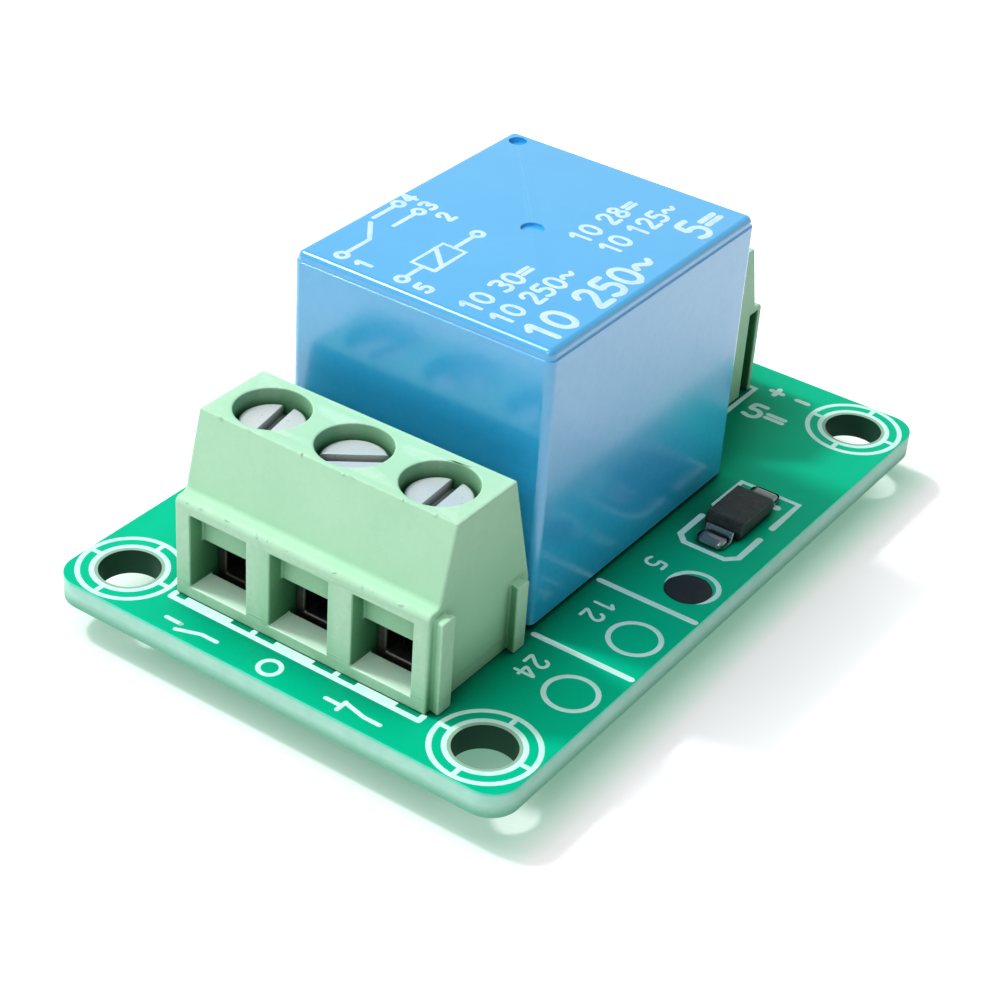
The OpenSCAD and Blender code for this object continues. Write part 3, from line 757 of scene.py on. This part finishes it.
def roundTool(x, y, radius, low, high, count=64):
    clearPick()
    bpy.ops.mesh.primitive_cylinder_add(vertices=count, radius=radius, depth=high - low,
                                        location=(x, y, (low + high) / 2))
    tool = bpy.context.active_object
    settle(tool)
    return tool


# flash that the mould left along the output housing's lip and top edge
flashLook = {"lipHeight": 5.8, "lipRound": 0.36, "topFront": 1.87, "height": 10, "size": 0.1,
             "lip": (-7.0, -5.9, -4.1, -3.5, -1.9, -0.4, 0.9, 2.3, 2.9, 4.7, 6.4, 7.2),
             "top": (-6.3, -4.4, -1.4, -0.9, 1.6, 4.9, 6.6)}
housingFront = boxOf("output_housing")[0].x
slant = flashLook["lipRound"] * math.sin(math.radians(45))
lipSpot = (housingFront + flashLook["lipRound"] - slant,
           boardTop + flashLook["lipHeight"] - flashLook["lipRound"] + slant)
topSpot = (housingFront + flashLook["topFront"], boardTop + flashLook["height"])
flakes = []
for (x, z), spots in ((lipSpot, flashLook["lip"]), (topSpot, flashLook["top"])):
    for y in spots:
        clearPick()
        bpy.ops.mesh.primitive_ico_sphere_add(subdivisions=2, radius=flashLook["size"],
                                              location=(x + 0.02, y, z - 0.03))
        flake = bpy.context.active_object
        flake.scale = (0.7 + 0.3 * math.sin(5 * y), 1.5 + 0.8 * math.sin(3 * y), 0.7 + 0.3 * math.cos(4 * y))
        flake.rotation_euler = (0.4 * math.sin(7 * y), 0.5 * math.cos(2 * y), 0.6 * math.sin(2 * y))
        settle(flake)
        flakes.append(flake)
finishPiece(merged(flakes), "housing_flash", "root", finishes["housing_green"])
print("stage: mould flash ready")

# relay's case
caseForm = {"corner": 0.5, "step": 0.1, "cap": 0.57, "capRound": 0.34, "wall": 0.8, "roof": 0.8,
            "gate": (0.4, 0.2, 0.62, 0.17), "vent": (8.4, 6.65, 0.5, 0.3)}
case = block(caseLow, (caseHigh.x, caseHigh.y, caseHigh.z - caseForm["cap"]))
pickUpright(case)
bpy.ops.mesh.bevel(offset=caseForm["corner"], segments=8, affect="EDGES")
pickFaces(case, lambda middle, normal: normal.z > 0.99)
bpy.ops.mesh.inset(thickness=caseForm["step"])
bpy.ops.mesh.extrude_region_move(TRANSFORM_OT_translate={"value": (0, 0, caseForm["cap"] - 0.02)})
bpy.ops.mesh.bevel(offset=caseForm["capRound"], segments=7, affect="EDGES")
workIn("OBJECT")
bevelled(case, 0.04, 2, 50)
inside = Vector((caseForm["wall"], caseForm["wall"], 0))
hollow = block(caseLow + inside - Vector((0, 0, 1)), caseHigh - inside - Vector((0, 0, caseForm["roof"])))
caseX = (caseLow.x + caseHigh.x) / 2
cutAway(case, [hollow] + [roundTool(caseX + x, y, radius, caseHigh.z - depth, caseHigh.z + 1, 32)
               for x, y, radius, depth in (caseForm["gate"], caseForm["vent"])])
finishPiece(case, "relay_case", "root", finishes["case_blue"], ["relay_cover"])
print("stage: relay case ready")

# board
boardForm = {"corner": 1.6, "edge": 0.07, "hole": 1.6, "drill": 0.68, "legX": 11.4,
             "relayPins": [(-7.4, 6.0), (-7.4, -6.0), (6.8, 0.0), (4.8, 6.0), (4.8, -6.0)]}
pinPlaces = []
for nodeName in ("output_contact_1", "output_contact_2", "output_contact_3",
                 "input_contact_1", "input_contact_2"):
    low, high = boxOf(nodeName)
    pinPlaces.append((math.copysign(boardForm["legX"], low.x), (low.y + high.y) / 2))
pinPlaces += boardForm["relayPins"]
board = block(boardLow, boardHigh)
pickUpright(board)
bpy.ops.mesh.bevel(offset=boardForm["corner"], segments=14, affect="EDGES")
workIn("OBJECT")
holes = [roundTool(sx * boardLook["holeX"], sy * boardLook["holeY"], boardForm["hole"],
                   boardUnder - 1, boardTop + 1) for sx in (-1, 1) for sy in (-1, 1)]
cutAway(board, holes)
bevelled(board, boardForm["edge"], 2, 60)
cutAway(board, [roundTool(x, y, boardForm["drill"], boardUnder - 1, boardTop + 1, 24)
                for x, y in pinPlaces])
finishPiece(board, "board_plate", "root", finishes["board_laminate"],
            ["circuit_board"])
print("stage: board ready")

# clamping screws
screwLook = {
    "headRadius": 1.75, "headChamfer": 0.16, "headTop": 12.65,
    "headRound": ((0.4, 0.985), (0.35, 0.97), (0.25, 0.94)), "seat": 11.0, "rim": 0.08,
    "slotWidth": 0.62, "slotDepth": 0.6, "core": 1.02, "thread": 1.24, "threadPitch": 0.45,
    "tip": 7.25, "tipScale": 0.55, "tipHeight": 0.3,
    "turns": {"output_screw_1": 4, "output_screw_2": -52, "output_screw_3": 10,
              "input_screw_1": 215, "input_screw_2": 160},
}


def ringUp(height, scale):
    bpy.ops.mesh.extrude_region_move(TRANSFORM_OT_translate={"value": (0, 0, height)})
    if scale != 1:
        bpy.ops.transform.resize(value=(scale, scale, 1))


def makeScrew():
    look = screwLook
    clearPick()
    bpy.ops.mesh.primitive_circle_add(vertices=64, radius=look["core"] * look["tipScale"],
                                      fill_type="NGON", location=(0, 0, look["tip"]))
    shank = bpy.context.active_object
    workIn("EDIT")
    ringUp(look["tipHeight"], 1 / look["tipScale"])
    ringUp(look["seat"] - look["tip"] - look["tipHeight"], 1)
    ringUp(0, look["headRadius"] / look["core"])
    ringUp(look["rim"], 1)
    ringUp(look["headTop"] - look["seat"] - look["rim"] - look["headChamfer"], 1)
    for share, shrink in look["headRound"]:
        ringUp(look["headChamfer"] * share, shrink)
    bpy.ops.mesh.inset(thickness=0.25)
    wholeOutwards()
    settle(shank)
    reach = Vector((2 * look["headRadius"], look["slotWidth"] / 2, look["slotDepth"]))
    top = Vector((0, 0, look["headTop"]))
    cutAway(shank, [block(top - reach, top + reach)])
    bevelled(shank, 0.05, 2, 50)
    # one ridge of thread, as a small triangle swept up the shank
    clearPick()
    bpy.ops.mesh.primitive_circle_add(vertices=3, radius=0.2, location=(0, 0, 0))
    ridge = bpy.context.active_object
    corners = ((look["core"] - 0.05, -0.2), (look["thread"], 0), (look["core"] - 0.05, 0.2))
    for vertex, (out, up) in zip(ridge.data.vertices, corners):
        vertex.co = (out, 0, look["tip"] + 0.5 + up)
    turnsUp = int((look["seat"] - look["tip"] - 1.1) / look["threadPitch"])
    modify(ridge, "SCREW", axis="Z", screw_offset=look["threadPitch"], iterations=turnsUp,
           steps=32, render_steps=32, use_merge_vertices=False)
    pickOnly(ridge)
    workIn("EDIT")
    bpy.ops.mesh.select_mode(type="EDGE")
    bpy.ops.mesh.select_all(action="SELECT")
    bpy.ops.mesh.fill_holes(sides=4)
    wholeOutwards()
    return merged([shank, ridge])


masterScrew = makeScrew()
for screwName, turn in screwLook["turns"].items():
    low, high = boxOf(screwName)
    piece = copyOf(masterScrew)
    piece.rotation_euler = (0, 0, math.radians(turn))
    piece.location = ((low.x + high.x) / 2, (low.y + high.y) / 2, 0)
    finishPiece(piece, screwName + "_turned", bodyOf[screwName],
                finishes["zinc_steel"], [screwName])
bpy.data.objects.remove(masterScrew)
print("stage: screws ready")

# solder under the board
solderLook = {"radius": 1.25, "height": 1.1,
              "profile": [(1.0, 0.0), (0.86, 0.12), (0.72, 0.3), (0.62, 0.52), (0.54, 0.74),
                          (0.5, 0.9), (0.44, 0.985), (0.3, 1.0)]}


def makeJoint():
    look = solderLook
    clearPick()
    bpy.ops.mesh.primitive_circle_add(vertices=40, radius=look["radius"], fill_type="NGON",
                                      location=(0, 0, 0))
    cone = bpy.context.active_object
    workIn("EDIT")
    last = look["profile"][0]
    for scale, height in look["profile"][1:]:
        ringUp(-(height - last[1]) * look["height"], scale / last[0])
        last = (scale, height)
    wholeOutwards()
    return cone


masterJoint = makeJoint()
joints = []
for x, y in pinPlaces:
    cone = copyOf(masterJoint)
    cone.location = (x, y, boardUnder)
    cone.rotation_euler = (0, 0, x * 0.7 + y)
    settle(cone)
    joints.append(cone)
bpy.data.objects.remove(masterJoint)
finishPiece(merged(joints), "solder_cones", "root", finishes["solder"], ["solder_joints"], 60)
print("stage: solder ready")

# printed strokes
digitStrokes = {
    "0": [[(.31, 0), (.08, .12), (0, .35), (0, .65), (.08, .88), (.31, 1), (.54, .88), (.62, .65),
           (.62, .35), (.54, .12), (.31, 0)]],
    "1": [[(.1, .76), (.36, 1), (.36, 0)]],
    "2": [[(.02, .76), (.1, .93), (.3, 1), (.52, .92), (.58, .74), (.48, .52), (.02, 0), (.62, 0)]],
    "3": [[(.04, .92), (.3, 1), (.52, .9), (.56, .74), (.46, .58), (.24, .54), (.48, .48), (.6, .28),
           (.52, .08), (.28, 0), (.02, .08)]],
    "4": [[(.46, 0), (.46, 1), (0, .3), (.64, .3)]],
    "5": [[(.56, 1), (.1, 1), (.05, .56), (.3, .63), (.54, .54), (.61, .32), (.52, .1), (.28, 0),
           (.02, .1)]],
    "8": [[(.31, .54), (.1, .66), (.08, .86), (.31, 1), (.54, .86), (.52, .66), (.31, .54), (.04, .38),
           (.04, .12), (.31, 0), (.58, .12), (.58, .38), (.31, .54)]],
    "+": [[(.05, .5), (.6, .5)], [(.32, .22), (.32, .78)]],
    "-": [[(.05, .5), (.6, .5)]],
    "=": [[(0, .62), (.7, .62)], [(0, .36), (.16, .36)], [(.27, .36), (.43, .36)], [(.54, .36), (.7, .36)]],
    "~": [[(0, .45), (.1, .6), (.22, .62), (.35, .5), (.48, .38), (.6, .4), (.7, .55)]],
}


def rounded(points, radius):
    if len(points) < 3 or radius <= 0:
        return list(points)
    result = [points[0]]
    for before, at, after in zip(points, points[1:], points[2:]):
        before, at, after = Vector(before), Vector(at), Vector(after)
        arm = min(radius, (at - before).length * 0.45, (after - at).length * 0.45)
        enter = at + (before - at).normalized() * arm
        leave = at + (after - at).normalized() * arm
        for step in (0, 0.25, 0.5, 0.75, 1):
            spot = enter * (1 - step) ** 2 + at * 2 * step * (1 - step) + leave * step ** 2
            result.append(tuple(spot))
    return result + [points[-1]]


def strokes(name, lines, width, level, thick):
    clearPick()
    curve = bpy.data.curves.new(name, "CURVE")
    curve.dimensions = "3D"
    curve.twist_mode = "Z_UP"
    curve.bevel_depth = width / 2
    curve.bevel_resolution = 2
    curve.use_fill_caps = True
    for points, closed in lines:
        path = [(p[0], p[1], 1.0) for p in points]
        if not closed:
            ends = []
            for here, there in ((points[0], points[1]), (points[-1], points[-2])):
                outward = (Vector(here) - Vector(there)).normalized()
                ends.append([(here[0] + outward.x * width / 2 * math.sin(a),
                              here[1] + outward.y * width / 2 * math.sin(a), math.cos(a))
                             for a in (0.5, 1.0, 1.35)])
            path = ends[0][::-1] + path + ends[1]
        spline = curve.splines.new("POLY")
        spline.points.add(len(path) - 1)
        for point, (x, y, size) in zip(spline.points, path):
            point.co = (x, y, 0, 1)
            point.radius = size
        spline.use_cyclic_u = closed
    obj = bpy.data.objects.new(name, curve)
    scene.collection.objects.link(obj)
    pickOnly(obj)
    bpy.ops.object.convert(target="MESH")
    obj = bpy.context.active_object
    obj.scale = (1, 1, thick / (width / 2))
    obj.location = (0, 0, level)
    settle(obj)
    return obj


def ring(x, y, radius, count=56):
    return ([(x + radius * math.cos(2 * math.pi * i / count),
              y + radius * math.sin(2 * math.pi * i / count)) for i in range(count)], True)


def words(text, start, right, up, height, advance=0.86):
    right, up = Vector(right).normalized(), Vector(up).normalized()
    at = Vector(start)
    lines = []
    for letter in text:
        for stroke in digitStrokes[letter]:
            points = [tuple(at + right * px * height + up * py * height)
                      for px, py in rounded(stroke, 0.12)]
            lines.append((points, False))
        at = at + right * advance * height
    return lines


boardFace = {"level": boardTop, "thick": 0.02, "slot": "board_laminate", "material": inks["boardInk"]}
caseFace = {"level": caseHigh.z - 0.02, "thick": 0.018, "slot": "case_blue", "material": inks["caseInk"]}
trackFace = {"level": boardUnder, "thick": 0.035, "slot": "board_laminate", "material": trackLacquer}
padFace = {"level": boardUnder, "thick": 0.045, "slot": "solder", "material": finishes["solder"]}


def line(*points):
    return (list(points), False)


def printed(name, lines, width, face):
    piece = strokes(name, lines, width, face["level"], face["thick"])
    finishPiece(piece, name, "root", face["material"])


boardPrint = {
    "ringLine": 0.28, "innerRing": 1.94, "outerRing": 2.66, "spoke": (1.98, 2.62),
    "pads": ((-12.52, -12.07), (-6.82, -12.11), (-1.12, -12.09)), "padRing": 1.345,
    "dividers": (-9.73, -3.70), "dividerRun": (-13.75, -8.0), "outlineLine": 0.38,
    "voltages": (("24", -11.14, 0.87), ("12", -5.05, 0.97), ("5", -0.15, 0.86)),
    "voltageY": -8.85, "voltageHeight": 1.12, "voltageLine": 0.2,
    "frontX": -18.86, "footX": -18.45, "frontEnds": (7.95, -7.6), "ticks": (2.8, -2.4),
    "frontLine": 0.34, "symbolX": -20.3, "symbolLine": 0.26,
    "bars": ((4.2, 7.2), (-1.0, 1.45), (-6.08, -3.62)), "barX": -18.62, "barWidth": 0.42,
    "barThick": 0.04,
}
rings = []
near, far = boardPrint["spoke"]
for sx in (-1, 1):
    for sy in (-1, 1):
        x, y = sx * boardLook["holeX"], sy * boardLook["holeY"]
        rings += [ring(x, y, boardPrint["innerRing"]), ring(x, y, boardPrint["outerRing"])]
        rings += [line((x + dx * near, y + dy * near), (x + dx * far, y + dy * far))
                  for dx, dy in ((1, 0), (-1, 0), (0, 1), (0, -1))]
printed("hole_rings", rings, boardPrint["ringLine"], boardFace)

# signal strip beside the relay: three pads' rings, dividers and plain numbers
printed("strip_rings", [ring(x, y, boardPrint["padRing"]) for x, y in boardPrint["pads"]],
        boardPrint["ringLine"], boardFace)
dividers = [line(*[(x, y) for y in boardPrint["dividerRun"]]) for x in boardPrint["dividers"]]
diodeFrame = [line((4.95, -9.0), (2.7, -9.0), (2.14, -9.55), (2.14, -12.05), (2.7, -12.6), (4.95, -12.6)),
              line((6.3, -9.0), (9.28, -9.0), (9.28, -12.6), (6.3, -12.6))]
inputFrame = [line((9.95, -4.5), (18.6, -4.5), (18.6, 6.5))]
printed("outline_print", dividers + diodeFrame + inputFrame, boardPrint["outlineLine"], boardFace)
numbers = []
for text, x, advance in boardPrint["voltages"]:
    numbers += words(text, (x, boardPrint["voltageY"]), (-1, 0), (0, -1),
                     boardPrint["voltageHeight"], advance)
printed("strip_numbers", numbers, boardPrint["voltageLine"], boardFace)

# marks along the output terminal and beside the input terminal
frontX, footX = boardPrint["frontX"], boardPrint["footX"]
front = [line(*[(frontX, y) for y in boardPrint["frontEnds"]])]
front += [line((frontX, y), (footX, y)) for y in boardPrint["frontEnds"] + boardPrint["ticks"]]
signs = []
for text, x, y, tall in (("+", 18.4, -5.3, 1.3), ("-", 18.4, -7.0, 1.3), ("5=", 15.6, -5.3, 1.5)):
    signs += words(text, (x, y), (0, -1), (1, 0), tall)
printed("front_print", front + signs, boardPrint["frontLine"], boardFace)
x = boardPrint["symbolX"]
symbols = [ring(x + 0.1, 0.4, 0.575, 32)]
for y, isOpen in ((3.7, True), (-6.4, False)):
    symbols += [line((x, y), (x, y + 0.95)), line((x, y + 2.3), (x, y + 3.25)),
                line((x, y + 0.95), (x - 0.48 if isOpen else x + 0.3, y + 2.25)),
                line((x, y + 2.3), (x, y + 2.4)) if isOpen else
                line((x + 0.35, y + 2.3), (x - 0.35, y + 2.3))]
printed("contact_symbols", symbols, boardPrint["symbolLine"], boardFace)
bars = []
halfWide, halfThick = boardPrint["barWidth"] / 2, boardPrint["barThick"] / 2
for low, high in boardPrint["bars"]:
    bar = block((boardPrint["barX"] - halfWide, low, boardTop - halfThick),
                (boardPrint["barX"] + halfWide, high, boardTop + halfThick))
    modify(bar, "BEVEL", width=0.012, segments=2, limit_method="ANGLE")
    bars.append(bar)
finishPiece(merged(bars), "front_bars", "root", inks["boardInk"])
dotSpot = (8.22, -11.79, boardTop)
clearPick()
bpy.ops.mesh.primitive_circle_add(vertices=20, radius=0.25, fill_type="NGON", location=dotSpot)
dot = bpy.context.active_object
workIn("EDIT")
ringUp(0.015, 0.97)
ringUp(0.005, 0.85)
workIn("OBJECT")
finishPiece(dot, "pin_one_dot", "root", inks["boardInk"])

# felt pen blot over the ring of the five volt place
blotLook = {"spot": (-1.45, -12.0, boardTop), "radius": 1.28, "count": 48,
            "waves": ((0.012, 3, 0.7), (0.008, 7, 2))}
clearPick()
bpy.ops.mesh.primitive_circle_add(vertices=blotLook["count"], radius=blotLook["radius"],
                                  fill_type="NGON", location=(0, 0, 0))
blot = bpy.context.active_object
for index, vertex in enumerate(blot.data.vertices):
    angle = 2 * math.pi * index / blotLook["count"]
    vertex.co *= 1 + sum(size * math.sin(turns * angle + phase) for size, turns, phase in blotLook["waves"])
workIn("EDIT")
bpy.ops.mesh.select_all(action="SELECT")
ringUp(0.03, 0.985)
ringUp(0.01, 0.9)
workIn("OBJECT")
blot.location = blotLook["spot"]
finishPiece(blot, "pen_blot", "root", inks["markerInk"])

# ratings and diagram on the relay's top
casePrint = {
    "rating": (("10", -8.9), ("250~", -4.6), ("5=", 5.0)), "ratingY": -7.0, "ratingHeight": 1.75,
    "columns": (-8.9, -6.3, 0.6, 3.2), "smallHeight": 1.15,
    "rows": ((-4.5, ("10", "250~", "10", "125~")), (-2.7, ("10", "30=", "10", "28="))),
    "pinNumbers": (("1", (-8.9, 3.8)), ("2", (-2.1, 3.8)), ("3", (-1.7, 5.2)), ("4", (-1.7, 6.5)),
                   ("5", (-8.9, 0.1))),
    "pinRings": ((-8.6, 5.6), (-2.3, 5.6), (-2.3, 6.9), (-8.6, 1.9), (-2.3, 1.9)),
    "pinHeight": 0.9, "pinRing": 0.3, "ratingLine": 0.37, "smallLine": 0.26, "diagramLine": 0.27,
}
rating = []
for text, x in casePrint["rating"]:
    rating += words(text, (x, casePrint["ratingY"]), (1, 0), (0, 1), casePrint["ratingHeight"])
printed("case_rating", rating, casePrint["ratingLine"], caseFace)
small = []
for y, row in casePrint["rows"]:
    for x, text in zip(casePrint["columns"], row):
        small += words(text, (x, y), (1, 0), (0, 1), casePrint["smallHeight"])
printed("case_small_print", small, casePrint["smallLine"], caseFace)
diagram = [line((-8.3, 5.6), (-6.4, 5.6), (-4.9, 6.7)), line((-4.4, 5.6), (-2.6, 5.6)),
           line((-4.4, 6.9), (-2.6, 6.9)), line((-8.3, 1.9), (-6.9, 1.9)),
           line((-4.3, 1.9), (-2.6, 1.9)),
           line((-6.9, 1.2), (-4.3, 1.2), (-4.3, 2.6), (-6.9, 2.6), (-6.9, 1.2)),
           line((-6.3, 1.2), (-4.9, 2.6))]
diagram += [ring(x, y, casePrint["pinRing"], 24) for x, y in casePrint["pinRings"]]
for text, spot in casePrint["pinNumbers"]:
    diagram += words(text, spot, (1, 0), (0, 1), casePrint["pinHeight"])
printed("case_diagram", diagram, casePrint["diagramLine"], caseFace)
print("stage: print ready")

# copper under the lacquer, kept clear of one another
trackLook = {"powerWidth": 2.6, "powerBend": 1.2, "coilWidth": 0.9, "coilBend": 1.0,
             "padRing": 1.38, "padWidth": 0.42}
powerTracks = [((-11.4, -4.88), (-9.2, -6.0), (-7.4, -6.0)), ((-11.4, 5.28), (-9.2, 6.0), (-7.4, 6.0)),
               ((-11.4, 0.2), (-4.0, 0.2), (6.8, 0.0))]
coilTracks = [((11.4, 3.54), (8.4, 6.0), (4.8, 6.0)), ((11.4, -1.54), (8.4, -6.0), (4.8, -6.0)),
              ((4.8, -6.0), (3.0, -8.0), (3.0, -10.8)),
              ((11.4, 3.54), (14.2, 1.0), (14.2, -7.5), (10.9, -10.8), (8.8, -10.8))]
printed("power_tracks", [line(*rounded(path, trackLook["powerBend"])) for path in powerTracks],
        trackLook["powerWidth"], trackFace)
printed("coil_tracks", [line(*rounded(path, trackLook["coilBend"])) for path in coilTracks],
        trackLook["coilWidth"], trackFace)
printed("pad_rings", [ring(x, y, trackLook["padRing"], 40) for x, y in pinPlaces],
        trackLook["padWidth"], padFace)

# solder that flowed over the diode's feet
moundLook = {"length": 1.0, "height": 0.46, "inEnd": 0.02, "inSide": 0.01, "round": 0.36}
low, high = boxOf("diode_solder")
mounds = []
for near, far in ((low.x + moundLook["inEnd"], low.x + moundLook["length"]),
                  (high.x - moundLook["length"], high.x - moundLook["inEnd"])):
    mound = block((near, low.y + moundLook["inSide"], boardTop),
                  (far, high.y - moundLook["inSide"], boardTop + moundLook["height"]))
    bevelled(mound, moundLook["round"], 8, 50)
    mounds.append(mound)
finishPiece(merged(mounds), "diode_fillets", "root", reflowed, ["diode_solder"], 70)
print("stage: copper ready")
